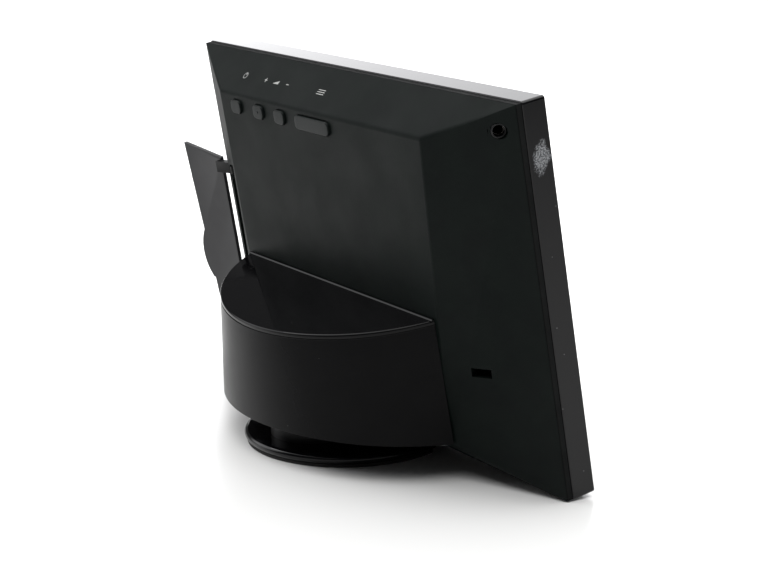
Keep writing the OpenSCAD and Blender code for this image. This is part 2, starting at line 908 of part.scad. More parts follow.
module foot_screws() {
    color("#8c8f92") for (p = foot_screws_at)
        translate([p[0], p[1], pad_t]) rotate([180, 0, 0])
            difference() {
                union() {
                    cylinder(r = 2.6, h = 0.9, $fn = fine);
                    translate([0, 0, -13.5]) cylinder(r = foot_screw_r, h = 13.6, $fn = fine);
                }
                translate([0, 0, 0.5]) for (turn = [0, 90]) rotate([0, 0, turn])
                    translate([-1.6, -0.3, 0]) cube([3.2, 0.6, 2]);
            }
}

module front_feet() {
    color("#2b2b2b") lean() for (side = [-1, 1])
        translate([side * front_pad_x - front_pad_size[0] / 2, front_pad_y, -front_pad_size[2]])
            cube(front_pad_size);
}

front_bezel();
front_window();
lcd_panel();
lcd_backlight();
lcd_tray();
tray_screws();
mid_frame();
rear_housing();
main_board();
board_screws();
processor_shield();
memory_chips();
lcd_flex();
button_board();
tact_switches();
sleep_button();
volume_up_button();
volume_down_button();
menu_button();
headphone_jack();
lock_plate();
socket_tray();
card_socket();
usb_port();
mini_usb_port();
dc_inlet();
door_pin();
side_door();
drum_shell();
drum_cap();
drum_floor();
floor_screws();
left_speaker_basket();
left_speaker_cone();
left_speaker_magnet();
right_speaker_basket();
right_speaker_cone();
right_speaker_magnet();
foot_stem();
foot_plate();
foot_pad();
foot_screws();
front_feet();
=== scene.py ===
import json
import math
import bmesh
import bpy
import numpy as np
from mathutils import Matrix, Vector

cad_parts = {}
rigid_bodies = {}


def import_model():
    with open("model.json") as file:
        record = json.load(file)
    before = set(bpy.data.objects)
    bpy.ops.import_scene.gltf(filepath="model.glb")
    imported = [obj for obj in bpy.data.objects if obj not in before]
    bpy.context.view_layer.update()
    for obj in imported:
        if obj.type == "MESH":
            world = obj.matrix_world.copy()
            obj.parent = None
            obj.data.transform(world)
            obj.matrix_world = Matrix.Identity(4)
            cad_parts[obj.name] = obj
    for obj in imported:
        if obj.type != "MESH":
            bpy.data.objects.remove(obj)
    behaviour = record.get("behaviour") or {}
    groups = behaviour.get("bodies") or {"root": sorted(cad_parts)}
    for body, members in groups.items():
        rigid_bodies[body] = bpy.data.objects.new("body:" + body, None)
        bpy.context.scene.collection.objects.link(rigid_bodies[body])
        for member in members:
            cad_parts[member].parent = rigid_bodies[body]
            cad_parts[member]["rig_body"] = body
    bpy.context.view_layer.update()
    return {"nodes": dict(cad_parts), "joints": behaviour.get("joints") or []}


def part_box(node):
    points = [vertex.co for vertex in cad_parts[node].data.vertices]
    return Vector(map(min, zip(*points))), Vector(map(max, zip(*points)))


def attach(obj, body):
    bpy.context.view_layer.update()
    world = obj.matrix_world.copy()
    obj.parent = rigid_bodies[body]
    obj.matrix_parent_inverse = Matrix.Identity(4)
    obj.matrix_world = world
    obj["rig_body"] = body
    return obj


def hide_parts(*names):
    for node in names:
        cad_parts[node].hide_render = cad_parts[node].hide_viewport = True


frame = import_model()
nodes = frame["nodes"]
scene = bpy.context.scene
mm = 0.001
print("stage: frame loaded,", len(nodes), "CAD nodes")

# the leaning frame: x across, depth from the front face, rise up the face, all in mm
hinge = next(j for j in frame["joints"] if j["name"] == "door_hinge")
riseAxis = np.array(hinge["axis"], float)
riseAxis /= np.linalg.norm(riseAxis)
depthAxis = np.cross(riseAxis, [1.0, 0.0, 0.0])


def vertexArray(nodeName):
    # all corners of a CAD node in mm
    mesh = nodes[nodeName].data
    co = np.empty(len(mesh.vertices) * 3)
    mesh.vertices.foreach_get("co", co)
    return co.reshape(-1, 3) / mm


bezelCorners = vertexArray("front_bezel")
frontDepth = (bezelCorners @ depthAxis).min()
lowRise = (bezelCorners @ riseAxis).min()
frameWide = np.ptp(bezelCorners[:, 0])
frameTall = np.ptp(bezelCorners @ riseAxis)


def leaning(x, depth, rise):
    # world mm from x, depth and rise, which may be arrays
    x, depth, rise = np.broadcast_arrays(x, depth, rise)
    return (x[..., None] * np.array([1.0, 0, 0]) + (depth + frontDepth)[..., None] * depthAxis
            + (rise + lowRise)[..., None] * riseAxis)


def finishMesh(name, mesh, body, sharpAngle):
    # merges doubled corners, turns every face outwards, and shades smooth up to sharpAngle
    work = bmesh.new()
    work.from_mesh(mesh)
    bmesh.ops.remove_doubles(work, verts=work.verts, dist=1e-6)
    bmesh.ops.dissolve_degenerate(work, edges=work.edges, dist=1e-7)
    bmesh.ops.recalc_face_normals(work, faces=work.faces)
    work.to_mesh(mesh)
    work.free()
    mesh.shade_smooth()
    mesh.set_sharp_from_angle(angle=math.radians(sharpAngle))
    piece = bpy.data.objects.new(name, mesh)
    scene.collection.objects.link(piece)
    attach(piece, body)
    return piece


def surface(name, grid, material, body="root", wrapRows=False, wrapColumns=False,
            sharpAngle=38):
    # one quad for each cell of a (rows, columns, xyz) grid in world mm
    rows, columns = grid.shape[:2]
    index = np.arange(rows * columns).reshape(rows, columns)
    if wrapRows:
        index = np.vstack([index, index[:1]])
    if wrapColumns:
        index = np.hstack([index, index[:, :1]])
    quads = np.stack([index[:-1, :-1], index[1:, :-1], index[1:, 1:], index[:-1, 1:]], -1)
    mesh = bpy.data.meshes.new(name)
    mesh.from_pydata((grid.reshape(-1, 3) * mm).tolist(), [], quads.reshape(-1, 4).tolist())
    mesh.materials.append(material)
    return finishMesh(name, mesh, body, sharpAngle)


def leaningBlock(name, low, high, material):
    # a plain block between two corners given as x, depth and rise: a closed ring of four
    # points carried from one depth to the other, its ends drawn in to the middle
    x, rise = np.array([low[0], high[0], high[0], low[0]]), np.array(
        [low[2], low[2], high[2], high[2]])
    middleX, middleRise = x * 0 + x.mean(), rise * 0 + rise.mean()
    rows = [leaning(middleX, low[1], middleRise), leaning(x, low[1], rise),
            leaning(x, high[1], rise), leaning(middleX, high[1], middleRise)]
    return surface(name, np.array(rows), material, wrapColumns=True)


def roundedOutline(halfWide, halfTall, radius, steps=10):
    # corner centre plus radius times (cos, sin), one quarter turn for each corner in turn
    turn = np.linspace(0, math.pi / 2, steps)[None, :] + np.arange(4)[:, None] * math.pi / 2
    centreX = np.array([1, -1, -1, 1])[:, None] * (halfWide - radius)
    centreZ = np.array([1, 1, -1, -1])[:, None] * (halfTall - radius)
    return (centreX + radius * np.cos(turn)).ravel(), (centreZ + radius * np.sin(turn)).ravel()


def softened(nodeName, width, material, segments=2, angle=28):
    # a merged copy of a CAD node with every crisp edge rounded by width mm
    mesh = nodes[nodeName].data.copy()
    mesh.materials.clear()
    mesh.materials.append(material)
    work = bmesh.new()
    work.from_mesh(mesh)
    bmesh.ops.remove_doubles(work, verts=work.verts, dist=2e-6)
    bmesh.ops.dissolve_limit(work, angle_limit=math.radians(0.6), verts=work.verts,
                             edges=work.edges)
    work.to_mesh(mesh)
    work.free()
    mesh.shade_smooth()
    mesh.set_sharp_from_angle(angle=math.radians(angle))
    piece = bpy.data.objects.new(nodeName + "_soft", mesh)
    scene.collection.objects.link(piece)
    bevel = piece.modifiers.new("edges", "BEVEL")
    bevel.width = width * mm
    bevel.segments = segments
    bevel.limit_method = "ANGLE"
    bevel.angle_limit = math.radians(angle)
    bevel.harden_normals = True
    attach(piece, nodes[nodeName]["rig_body"])
    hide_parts(nodeName)
    return piece


def toLinear(hexColour):
    # sRGB hex to linear rgba
    values = np.array([int(hexColour[i:i + 2], 16) for i in (1, 3, 5)]) / 255
    linear = np.where(values <= 0.04045, values / 12.92, ((values + 0.055) / 1.055) ** 2.4)
    return (*linear.tolist(), 1.0)


# the colour sockets of a mix node, which shares its socket names between kinds
mixA, mixB, mixOut = 6, 7, 2


def addNode(tree, kind, inputs=None, **settings):
    # a node with its settings, then its input values or links: a link is (node, output)
    made = tree.nodes.new(kind)
    for key, value in settings.items():
        setattr(made, key, value)
    for key, value in (inputs or {}).items():
        socket = made.inputs[key]
        if isinstance(value, tuple) and len(value) == 2 and hasattr(value[0], "outputs"):
            tree.links.new(value[0].outputs[value[1]], socket)
        else:
            socket.default_value = value
    return made


def emptyTree(owner):
    # switches an owner's nodes on and empties them
    owner.use_nodes = True
    owner.node_tree.nodes.clear()
    return owner.node_tree


def perSize(sizeMm):
    # a texture scale, in 1/m, for features about sizeMm wide
    return 1000 / sizeMm


def dustSpots(tree, place, apart, core, rim, rare, sure):
    # dust: cells about apart mm wide, a few of which hold one round speck. The speck fades
    # out from core to rim of a cell, and a cell has one as its random red goes from rare to
    # sure
    speck = addNode(tree, "ShaderNodeTexVoronoi", {
        "Vector": (place, "Object"), "Scale": perSize(apart)})
    near = addNode(tree, "ShaderNodeMapRange", {
        "Value": (speck, "Distance"), "From Min": core, "From Max": rim,
        "To Min": 1.0, "To Max": 0.0})
    cell = addNode(tree, "ShaderNodeSeparateColor", {"Color": (speck, "Color")})
    chosen = addNode(tree, "ShaderNodeMapRange", {
        "Value": (cell, "Red"), "From Min": rare, "From Max": sure})
    return addNode(tree, "ShaderNodeMath", {0: (near, "Result"), 1: (chosen, "Result")},
                   operation="MULTIPLY")


def mouldedPlastic(name, colour, shade, roughness, grainMm, grainDepth, specular=0.5,
                   spread=0.06, dust=0.0, mottleMm=9):
    # ABS from a mould: a slow mottle, a grain of grainMm, roughness that wanders, and dust
    # as rare pale specks
    material = bpy.data.materials.new(name)
    tree = emptyTree(material)
    place = addNode(tree, "ShaderNodeTexCoord")
    mottle = addNode(tree, "ShaderNodeTexNoise", {
        "Vector": (place, "Object"), "Scale": perSize(mottleMm), "Detail": 3.0})
    smear = addNode(tree, "ShaderNodeTexNoise", {
        "Vector": (place, "Object"), "Scale": perSize(26), "Detail": 4.0, "Roughness": 0.6})
    grain = addNode(tree, "ShaderNodeTexNoise", {
        "Vector": (place, "Object"), "Scale": perSize(grainMm), "Detail": 3.0,
        "Roughness": 0.6})
    share = addNode(tree, "ShaderNodeMapRange", {
        "Value": (mottle, "Fac"), "From Min": 0.35, "From Max": 0.65})
    base = addNode(tree, "ShaderNodeMix", {
        "Factor": (share, "Result"), mixA: toLinear(colour), mixB: toLinear(shade)},
        data_type="RGBA")
    rough = addNode(tree, "ShaderNodeMapRange", {
        "Value": (smear, "Fac"), "From Min": 0.3, "From Max": 0.7,
        "To Min": roughness - spread, "To Max": roughness + spread})
    bump = addNode(tree, "ShaderNodeBump", {
        "Strength": 1.0, "Distance": grainDepth * mm, "Height": (grain, "Fac")})
    colourLink, roughLink = (base, mixOut), (rough, "Result")
    if dust:
        spot = dustSpots(tree, place, 2.6, 0.03, 0.06, 1 - dust, 1 - dust * 0.6)
        dusted = addNode(tree, "ShaderNodeMix", {
            "Factor": (spot, "Value"), mixA: (base, mixOut), mixB: toLinear("#9a9a98")},
            data_type="RGBA")
        rougher = addNode(tree, "ShaderNodeMath", {
            0: (spot, "Value"), 1: 0.6, 2: (rough, "Result")}, operation="MULTIPLY_ADD")
        colourLink, roughLink = (dusted, mixOut), (rougher, "Value")
    shader = addNode(tree, "ShaderNodeBsdfPrincipled", {
        "Base Color": colourLink, "Roughness": roughLink, "Specular IOR Level": specular,
        "Normal": (bump, "Normal")})
    addNode(tree, "ShaderNodeOutputMaterial", {"Surface": (shader, "BSDF")})
    return material


def sheetMetal(name, colour, shade, roughness, lineMm, depth=0.004, stretch=(1, 1, 12)):
    # rolled or plated metal: fine lines along one way, a little wandering roughness
    material = bpy.data.materials.new(name)
    tree = emptyTree(material)
    place = addNode(tree, "ShaderNodeTexCoord")
    mapping = addNode(tree, "ShaderNodeMapping", {
        "Vector": (place, "Object"), "Scale": tuple(1 / s for s in stretch)})
    lines = addNode(tree, "ShaderNodeTexNoise", {
        "Vector": (mapping, "Vector"), "Scale": perSize(lineMm), "Detail": 3.0})
    cloud = addNode(tree, "ShaderNodeTexNoise", {
        "Vector": (place, "Object"), "Scale": perSize(12), "Detail": 3.0})
    base = addNode(tree, "ShaderNodeMix", {
        "Factor": (cloud, "Fac"), mixA: toLinear(colour), mixB: toLinear(shade)},
        data_type="RGBA")
    rough = addNode(tree, "ShaderNodeMapRange", {
        "Value": (lines, "Fac"), "From Min": 0.3, "From Max": 0.7,
        "To Min": roughness - 0.07, "To Max": roughness + 0.07})
    bump = addNode(tree, "ShaderNodeBump", {
        "Strength": 1.0, "Distance": depth * mm, "Height": (lines, "Fac")})
    shader = addNode(tree, "ShaderNodeBsdfPrincipled", {
        "Base Color": (base, mixOut), "Metallic": 1.0, "Roughness": (rough, "Result"),
        "Normal": (bump, "Normal")})
    addNode(tree, "ShaderNodeOutputMaterial", {"Surface": (shader, "BSDF")})
    return material


def glossAbs(name, residue=None):
    # high-gloss ABS: a black mirror with dust and faint orange peel, and where residue is
    # given a ragged patch of old label glue with paper crumbs in it
    material = bpy.data.materials.new(name)
    tree = emptyTree(material)
    place = addNode(tree, "ShaderNodeTexCoord")
    smear = addNode(tree, "ShaderNodeTexNoise", {
        "Vector": (place, "Object"), "Scale": perSize(30), "Detail": 4.0, "Roughness": 0.6})
    peel = addNode(tree, "ShaderNodeTexNoise", {
        "Vector": (place, "Object"), "Scale": perSize(3.2)})
    rough = addNode(tree, "ShaderNodeMapRange", {
        "Value": (smear, "Fac"), "From Min": 0.3, "From Max": 0.7,
        "To Min": 0.045, "To Max": 0.11})
    spot = dustSpots(tree, place, 2.2, 0.035, 0.07, 0.965, 0.98)
    base = addNode(tree, "ShaderNodeMix", {
        "Factor": (spot, "Value"), mixA: toLinear("#08080a"), mixB: toLinear("#8d8e8e")},
        data_type="RGBA")
    colourLink, roughLink = (base, mixOut), (rough, "Result")
    if residue is not None:
        ragged = addNode(tree, "ShaderNodeTexNoise", {
            "Vector": (place, "Object"), "Scale": perSize(4), "Detail": 4.0,
            "Roughness": 0.65})
        offset = addNode(tree, "ShaderNodeVectorMath", {
            0: (place, "Object"), 1: tuple(residue["centre"] * mm)}, operation="SUBTRACT")
        shrunk = addNode(tree, "ShaderNodeVectorMath", {
            0: (offset, "Vector"), 1: tuple(1 / (residue["half"] * mm))},
            operation="MULTIPLY")
        reach = addNode(tree, "ShaderNodeVectorMath", {0: (shrunk, "Vector")},
                        operation="LENGTH")
        torn = addNode(tree, "ShaderNodeMath", {
            0: (ragged, "Fac"), 1: -1.7, 2: (reach, "Value")}, operation="MULTIPLY_ADD")
        patch = addNode(tree, "ShaderNodeMapRange", {
            "Value": (torn, "Value"), "From Min": -0.2, "From Max": 0.15,
            "To Min": 1.0, "To Max": 0.0})
        crumbs = addNode(tree, "ShaderNodeTexNoise", {
            "Vector": (place, "Object"), "Scale": perSize(0.5), "Detail": 3.0,
            "Roughness": 0.7})
        crumb = addNode(tree, "ShaderNodeMapRange", {
            "Value": (crumbs, "Fac"), "From Min": 0.46, "From Max": 0.54})
        paper = addNode(tree, "ShaderNodeMath", {
            0: (patch, "Result"), 1: (crumb, "Result")}, operation="MULTIPLY")
        haze = addNode(tree, "ShaderNodeMix", {
            "Factor": (patch, "Result"), mixA: (base, mixOut), mixB: toLinear("#46484b")},
            data_type="RGBA")
        flecked = addNode(tree, "ShaderNodeMix", {
            "Factor": (paper, "Value"), mixA: (haze, mixOut), mixB: toLinear("#9a9c9f")},
            data_type="RGBA")
        dulled = addNode(tree, "ShaderNodeMath", {
            0: (patch, "Result"), 1: 0.35, 2: (rough, "Result")}, operation="MULTIPLY_ADD")
        colourLink, roughLink = (flecked, mixOut), (dulled, "Value")
    bump = addNode(tree, "ShaderNodeBump", {
        "Strength": 1.0, "Distance": 0.0012 * mm, "Height": (peel, "Fac")})
    shader = addNode(tree, "ShaderNodeBsdfPrincipled", {
        "Base Color": colourLink, "Roughness": roughLink, "Specular IOR Level": 0.3,
        "Normal": (bump, "Normal")})
    addNode(tree, "ShaderNodeOutputMaterial", {"Surface": (shader, "BSDF")})
    return material


def acrylic(name):
    # cast acrylic over the screen: clear, with the faintest smear
    material = bpy.data.materials.new(name)
    tree = emptyTree(material)
    place = addNode(tree, "ShaderNodeTexCoord")
    smear = addNode(tree, "ShaderNodeTexNoise", {
        "Vector": (place, "Object"), "Scale": perSize(22), "Detail": 4.0, "Roughness": 0.6})
    rough = addNode(tree, "ShaderNodeMapRange", {
        "Value": (smear, "Fac"), "From Min": 0.35, "From Max": 0.7, "To Max": 0.05})
    shader = addNode(tree, "ShaderNodeBsdfPrincipled", {
        "Base Color": toLinear("#eef1f2"), "Roughness": (rough, "Result"), "IOR": 1.49,
        "Transmission Weight": 1.0})
    addNode(tree, "ShaderNodeOutputMaterial", {"Surface": (shader, "BSDF")})
    return material


def screenGlass(name):
    # liquid crystal glass, switched off: near black with the black matrix's fine columns
    material = bpy.data.materials.new(name)
    tree = emptyTree(material)
    place = addNode(tree, "ShaderNodeTexCoord")
    columns = addNode(tree, "ShaderNodeTexWave", {
        "Vector": (place, "Object"), "Scale": perSize(8)}, wave_type="BANDS",
        bands_direction="X")
    cloud = addNode(tree, "ShaderNodeTexNoise", {
        "Vector": (place, "Object"), "Scale": perSize(40)})
    base = addNode(tree, "ShaderNodeMix", {
        "Factor": (columns, "Fac"), mixA: toLinear("#0b0c10"), mixB: toLinear("#101218")},
        data_type="RGBA")
    tint = addNode(tree, "ShaderNodeMix", {
        "Factor": (cloud, "Fac"), mixA: (base, mixOut), mixB: toLinear("#12141c")},
        data_type="RGBA")
    shader = addNode(tree, "ShaderNodeBsdfPrincipled", {
        "Base Color": (tint, mixOut), "Roughness": 0.18, "IOR": 1.52})
    addNode(tree, "ShaderNodeOutputMaterial", {"Surface": (shader, "BSDF")})
    return material


def circuitBoard(name):
    # fibreglass under solder mask: green, with lighter tracks in straight runs and tin pads
    material = bpy.data.materials.new(name)
    tree = emptyTree(material)
    place = addNode(tree, "ShaderNodeTexCoord")
    turned = addNode(tree, "ShaderNodeMapping", {
        "Vector": (place, "Object"), "Rotation": (math.pi / 2, 0, 0)})
    tracks = addNode(tree, "ShaderNodeTexBrick", {
        "Vector": (turned, "Vector"), "Scale": perSize(9), "Color1": toLinear("#1c6a43"),
        "Color2": toLinear("#175a39"), "Mortar": toLinear("#2f8a5c"), "Mortar Size": 0.03,
        "Brick Width": 0.9, "Row Height": 0.28})
    dots = addNode(tree, "ShaderNodeTexVoronoi", {
        "Vector": (place, "Object"), "Scale": perSize(4)})
    pad = addNode(tree, "ShaderNodeMapRange", {
        "Value": (dots, "Distance"), "From Min": 0.1, "From Max": 0.13, "To Min": 1.0,
        "To Max": 0.0})
    base = addNode(tree, "ShaderNodeMix", {
        "Factor": (pad, "Result"), mixA: (tracks, "Color"), mixB: toLinear("#b9b49a")},
        data_type="RGBA")
    bump = addNode(tree, "ShaderNodeBump", {
        "Strength": 0.6, "Distance": 0.03 * mm, "Height": (tracks, "Fac")})
    shader = addNode(tree, "ShaderNodeBsdfPrincipled", {
        "Base Color": (base, mixOut), "Metallic": (pad, "Result"), "Roughness": 0.32,
        "Normal": (bump, "Normal")})
    addNode(tree, "ShaderNodeOutputMaterial", {"Surface": (shader, "BSDF")})
    return material


residuePatch = dict(centre=leaning(-frameWide / 2, 4.2, 111.6), half=np.array([3.2, 3.4, 4.7]))

glossBezel = glossAbs("highGlossAbsBezel", residuePatch)
glossFoot = glossAbs("highGlossAbsFoot")
# ABS from a spark-eroded mould: matte, with a fine pebble that breaks every highlight
pebbledAbs = mouldedPlastic("sparkTexturedAbs", "#0d1311", "#0b100f", 0.46, 0.5, 0.03,
                            specular=0.06, dust=0.006)
pebbledButton = mouldedPlastic("sparkTexturedAbsButton", "#131817", "#111615", 0.42, 0.45,
                               0.018, specular=0.12)
satinStrip = mouldedPlastic("satinAbsStrip", "#1d1e1e", "#191a1a", 0.62, 0.8, 0.006,
                            specular=0.04)
satinDoor = mouldedPlastic("satinAbsDoor", "#2b2b2d", "#262628", 0.36, 0.7, 0.008,
                           specular=0.26)
# a darker copy of the door's satin ABS for the door's arms: painted shade, not a different
# finish
armPaintedShade = mouldedPlastic("satinAbsArmPaintedShade", "#0c0c0d", "#0a0a0b", 0.4, 0.7, 0.008,
                           specular=0.1)
# plain ABS off a polished mould: the drum's wall, half way to a mirror
semiGlossDrum = mouldedPlastic("semiGlossAbsDrum", "#0b0b0c", "#09090a", 0.22, 1.4, 0.003,
                               specular=0.06, spread=0.04, dust=0.02)
pianoCap = mouldedPlastic("pianoBlackAbs", "#060607", "#070708", 0.05, 3.0, 0.001,
                          specular=0.14, spread=0.02, dust=0.03)
dullStem = mouldedPlastic("satinAbsStem", "#0a0a0b", "#08080a", 0.4, 0.8, 0.008,
                          specular=0.2)
chipEpoxy = mouldedPlastic("mouldedEpoxy", "#17181a", "#1c1d1f", 0.55, 0.3, 0.012)
inletNylon = mouldedPlastic("blackNylon", "#0c0c0e", "#101012", 0.42, 0.6, 0.008,
                            specular=0.3)
siliconePad = mouldedPlastic("siliconeRubber", "#1b1b1b", "#202020", 0.72, 0.4, 0.03,
                             specular=0.3)
conePaper = mouldedPlastic("pressedPaper", "#1c1c1b", "#262524", 0.85, 0.35, 0.05)
ferrite = mouldedPlastic("ferriteCeramic", "#36373a", "#2c2d30", 0.6, 0.4, 0.03)
basketPaint = mouldedPlastic("paintedSteelBasket", "#2e3033", "#26282a", 0.36, 1.0, 0.01)
diffuserWhite = mouldedPlastic("opalDiffuser", "#e6e6e0", "#dededa", 0.5, 0.8, 0.004)
polyimide = mouldedPlastic("polyimideFilm", "#b0702a", "#96601f", 0.3, 0.7, 0.006)
printWhite = mouldedPlastic("screenPrintedInk", "#a9aaa8", "#9c9d9b", 0.55, 0.4, 0.006)
tinPlate = sheetMetal("tinnedSteel", "#c9ccce", "#b4b8ba", 0.3, 0.5)
zincSteel = sheetMetal("zincPlatedSteel", "#9fa3a6", "#83878a", 0.34, 0.3)
rolledSteel = sheetMetal("coldRolledSteel", "#b2b6b9", "#9da1a4", 0.38, 0.7)
# steel for the lock plate, its dark colour painted shade for the inside of the lock slot
slotShadeSteel = sheetMetal("steelDarkenedAsSlotShade", "#2b2c2d", "#232425", 0.45, 0.7)
nickelPlate = sheetMetal("nickelPlatedBrass", "#b9b7b0", "#a4a29b", 0.2, 0.4)
goldContact = sheetMetal("goldPlatedContact", "#d8b25c", "#c59c48", 0.24, 0.4)
clearAcrylic = acrylic("castAcrylic")
lcdGlass = screenGlass("lcdGlassOff")
boardGreen = circuitBoard("solderMaskBoard")
print("stage: materials made")

# the lock plate's dark steel stands in as painted shade inside the lock slot
finishOfNode = {
    "front_bezel": glossBezel, "front_window": clearAcrylic, "lcd_panel": lcdGlass,
    "lcd_backlight": diffuserWhite, "lcd_tray": rolledSteel, "tray_screws": zincSteel,
    "mid_frame": satinStrip, "rear_housing": pebbledAbs, "main_board": boardGreen,
    "board_screws": zincSteel, "processor_shield": tinPlate, "memory_chips": chipEpoxy,
    "lcd_flex": polyimide, "button_board": boardGreen, "tact_switches": tinPlate,
    "sleep_button": pebbledButton, "volume_up_button": pebbledButton,
    "volume_down_button": pebbledButton, "menu_button": pebbledButton,
    "headphone_jack": inletNylon, "lock_plate": slotShadeSteel, "socket_tray": satinStrip,
    "card_socket": tinPlate, "usb_port": tinPlate, "mini_usb_port": tinPlate,
    "dc_inlet": inletNylon, "door_pin": zincSteel, "side_door": satinDoor,
    "drum_shell": semiGlossDrum, "drum_cap": pianoCap, "drum_floor": satinStrip,
    "floor_screws": zincSteel, "foot_stem": dullStem, "foot_plate": glossFoot,
    "foot_pad": siliconePad, "foot_screws": zincSteel, "front_feet": siliconePad}
for side in ("left", "right"):
    finishOfNode[side + "_speaker_basket"] = basketPaint
    finishOfNode[side + "_speaker_cone"] = conePaper
    finishOfNode[side + "_speaker_magnet"] = ferrite
for nodeName, material in finishOfNode.items():
    mesh = nodes[nodeName].data
    mesh.materials.clear()
    mesh.materials.append(material)

bezel = dict(depth=8.5, edge=0.35, corner=1.0, viewWide=154.0, viewTall=87.0, skin=1.2,
             glassIn=3.0, pocketWide=166.5, pocketTall=101.5, pocketDepth=2.2,
             pocketCorner=0.6, lipDrop=0.5, lipRound=0.35, hold=0.15)


def buildBezel():
    # rounded-rectangle outlines of changing size carried round a closed section
    halfWide, halfTall, edge = frameWide / 2, frameTall / 2, bezel["edge"]
    turn = np.linspace(0, math.pi / 2, 5)
    inset, drop = edge * (1 - np.sin(turn)), edge * (1 - np.cos(turn))
    # a close row beside each rounded edge keeps the flat faces flat in the shading
    hold = bezel["hold"]
    front = (halfWide - edge - hold, halfTall - edge - hold, bezel["corner"] - edge)
    section = [(*front, 0.0)]
    section += [(halfWide - i, halfTall - i, bezel["corner"] - i, d)
                for i, d in zip(inset, drop)]
    section += [(halfWide, halfTall, bezel["corner"], edge + hold),
                (halfWide, halfTall, bezel["corner"], bezel["depth"] - edge - hold)]
    section += [(halfWide - i, halfTall - i, bezel["corner"] - i, bezel["depth"] - d)
                for i, d in zip(inset[::-1], drop[::-1])]
    section.append((*front, bezel["depth"]))
    wide, tall = bezel["viewWide"] / 2, bezel["viewTall"] / 2
    pocketWide, pocketTall = bezel["pocketWide"] / 2, bezel["pocketTall"] / 2
    glassWide, glassTall = wide + bezel["glassIn"], tall + bezel["glassIn"]
    corner, lip = bezel["pocketCorner"], bezel["lipRound"]
    section += [(pocketWide, pocketTall, corner, bezel["depth"]),
                (pocketWide, pocketTall, corner, bezel["pocketDepth"]),
                (glassWide, glassTall, corner, bezel["pocketDepth"]),
                (glassWide, glassTall, corner, bezel["skin"]),
                (wide, tall, corner, bezel["skin"]), (wide, tall, corner, bezel["lipDrop"]),
                (wide + lip * 0.25, tall + lip * 0.25, corner, bezel["lipDrop"] * 0.4),
                (wide + lip, tall + lip, corner, 0.0),
                (wide + lip + hold, tall + lip + hold, corner, 0.0)]
    rings = []
    for wideHere, tallHere, radius, depth in section:
        x, z = roundedOutline(wideHere, tallHere, radius)
        rings.append(leaning(x, depth, z + frameTall / 2))
    piece = surface("front_bezel_shell", np.array(rings), glossBezel, wrapRows=True,
                    wrapColumns=True)
    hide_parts("front_bezel")


buildBezel()

# the drum's plan is one arc round its back, tangent to a smaller arc at each end
drum = dict(radius=76.0, endRadius=53.0, endStart=31.0, low=13.0, top=64.7, slope=13.3,
            wall=2.2, capThick=1.4, groove=0.3, seam=0.1, rimRound=0.6, behind=0.15,
            backLow=27.2, backLean=7.81, edge=0.35, topEdge=0.08,
            plugDeep=4.0, turnLimit=2.4, turnSteps=4001)
# the cap's bead along the frame: drop below the slope, and how far off the frame's back
capBead = [(0.7, 0.0), (0.0, 0.0), (-0.28, 0.09), (-0.42, 0.32), (-0.4, 0.58), (-0.22, 0.82),
           (0.0, 0.95), (0.0, 1.3)]
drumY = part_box("drum_shell")[1].y / mm - drum["radius"]
backFoot = leaning(np.array(0.0), np.array(drum["backLow"]), np.array(0.0))


def drumReach(angle, inset):
    # distance from the drum's centre to its outline drawn in by inset, at an angle from the
    # back: the big radius, and past endStart the far side of the end's circle
    past = np.maximum(np.abs(angle) - math.radians(drum["endStart"]), 0)
    out = drum["radius"] - drum["endRadius"]
    small = drum["endRadius"] - inset
    return out * np.cos(past) + np.sqrt(small ** 2 - (out * np.sin(past)) ** 2)


def backPlaneY(z):
    # y of the frame's back face, plus the gap, at world height z
    lean = math.radians(drum["backLean"])
    return backFoot[1] + (drum["behind"] + (z - backFoot[2]) * math.sin(lean)) / math.cos(lean)


def slopeZ(y, drop):
    # height of the drum's sloping top, lowered by drop
    return drum["top"] - drop - (y - drumY) * math.tan(math.radians(drum["slope"]))


def chordOnSlope(drop):
    # (y, z) where the sloping top meets the frame's back face
    z = 50.0
    for _ in range(8):
        z = slopeZ(backPlaneY(z), drop)
    return backPlaneY(z), z


def endAngle(endY, inset):
    # the angle from the back where the outline comes round to y = endY
    angle = np.linspace(0, drum["turnLimit"], drum["turnSteps"])
    return np.interp(drumY - endY, -drumReach(angle, inset) * np.cos(angle), angle)


def arcRow(inset, height, drop, share):
    # one row round the drum: share runs -1 to 1 between the two ends, at a fixed height or,
    # where height is None, on the slope lowered by drop
    endY = backPlaneY(height) if height is not None else chordOnSlope(drop)[0]
    angle = share * endAngle(endY, inset)
    reach = drumReach(angle, inset)
    x, y = reach * np.sin(angle), drumY + reach * np.cos(angle)
    z = np.full_like(x, height) if height is not None else slopeZ(y, drop)
    return np.stack([x, y, z], -1)


def buildDrumWall():
    # a wall section carried round the drum, its top on the slope, its two ends filled
    share = np.linspace(-1, 1, 301)
    e, wall, low = drum["edge"], drum["wall"], drum["low"]
    top, crisp = drum["capThick"] + drum["groove"], drum["topEdge"]
    rows = [arcRow(0.3 * e, low + 0.3 * e, 0, share), arcRow(0, low + e, 0, share),
            arcRow(0, None, top + crisp, share), arcRow(crisp, None, top, share),
            arcRow(wall, None, top, share),
            arcRow(wall, low, 0, share), arcRow(e, low, 0, share)]
    piece = surface("drum_wall", np.array(rows), semiGlossDrum, wrapRows=True)
    work = bmesh.new()
    work.from_mesh(piece.data)
    rim = [edge for edge in work.edges if edge.is_boundary]
    bmesh.ops.holes_fill(work, edges=rim, sides=0)
    bmesh.ops.recalc_face_normals(work, faces=work.faces)
    work.to_mesh(piece.data)
    work.free()
    piece.data.set_sharp_from_angle(angle=math.radians(38))
    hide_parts("drum_shell")


def chordRow(drop, off, share):
    # a straight row along the frame's back face on the slope, moved off rearwards
    y, z = chordOnSlope(drop)
    turn = endAngle(y, 0.0)
    x = share * drumReach(turn, 0.0) * math.sin(turn)
    return np.stack([x, np.full_like(x, y + off), np.full_like(x, slopeZ(y + off, drop))], -1)


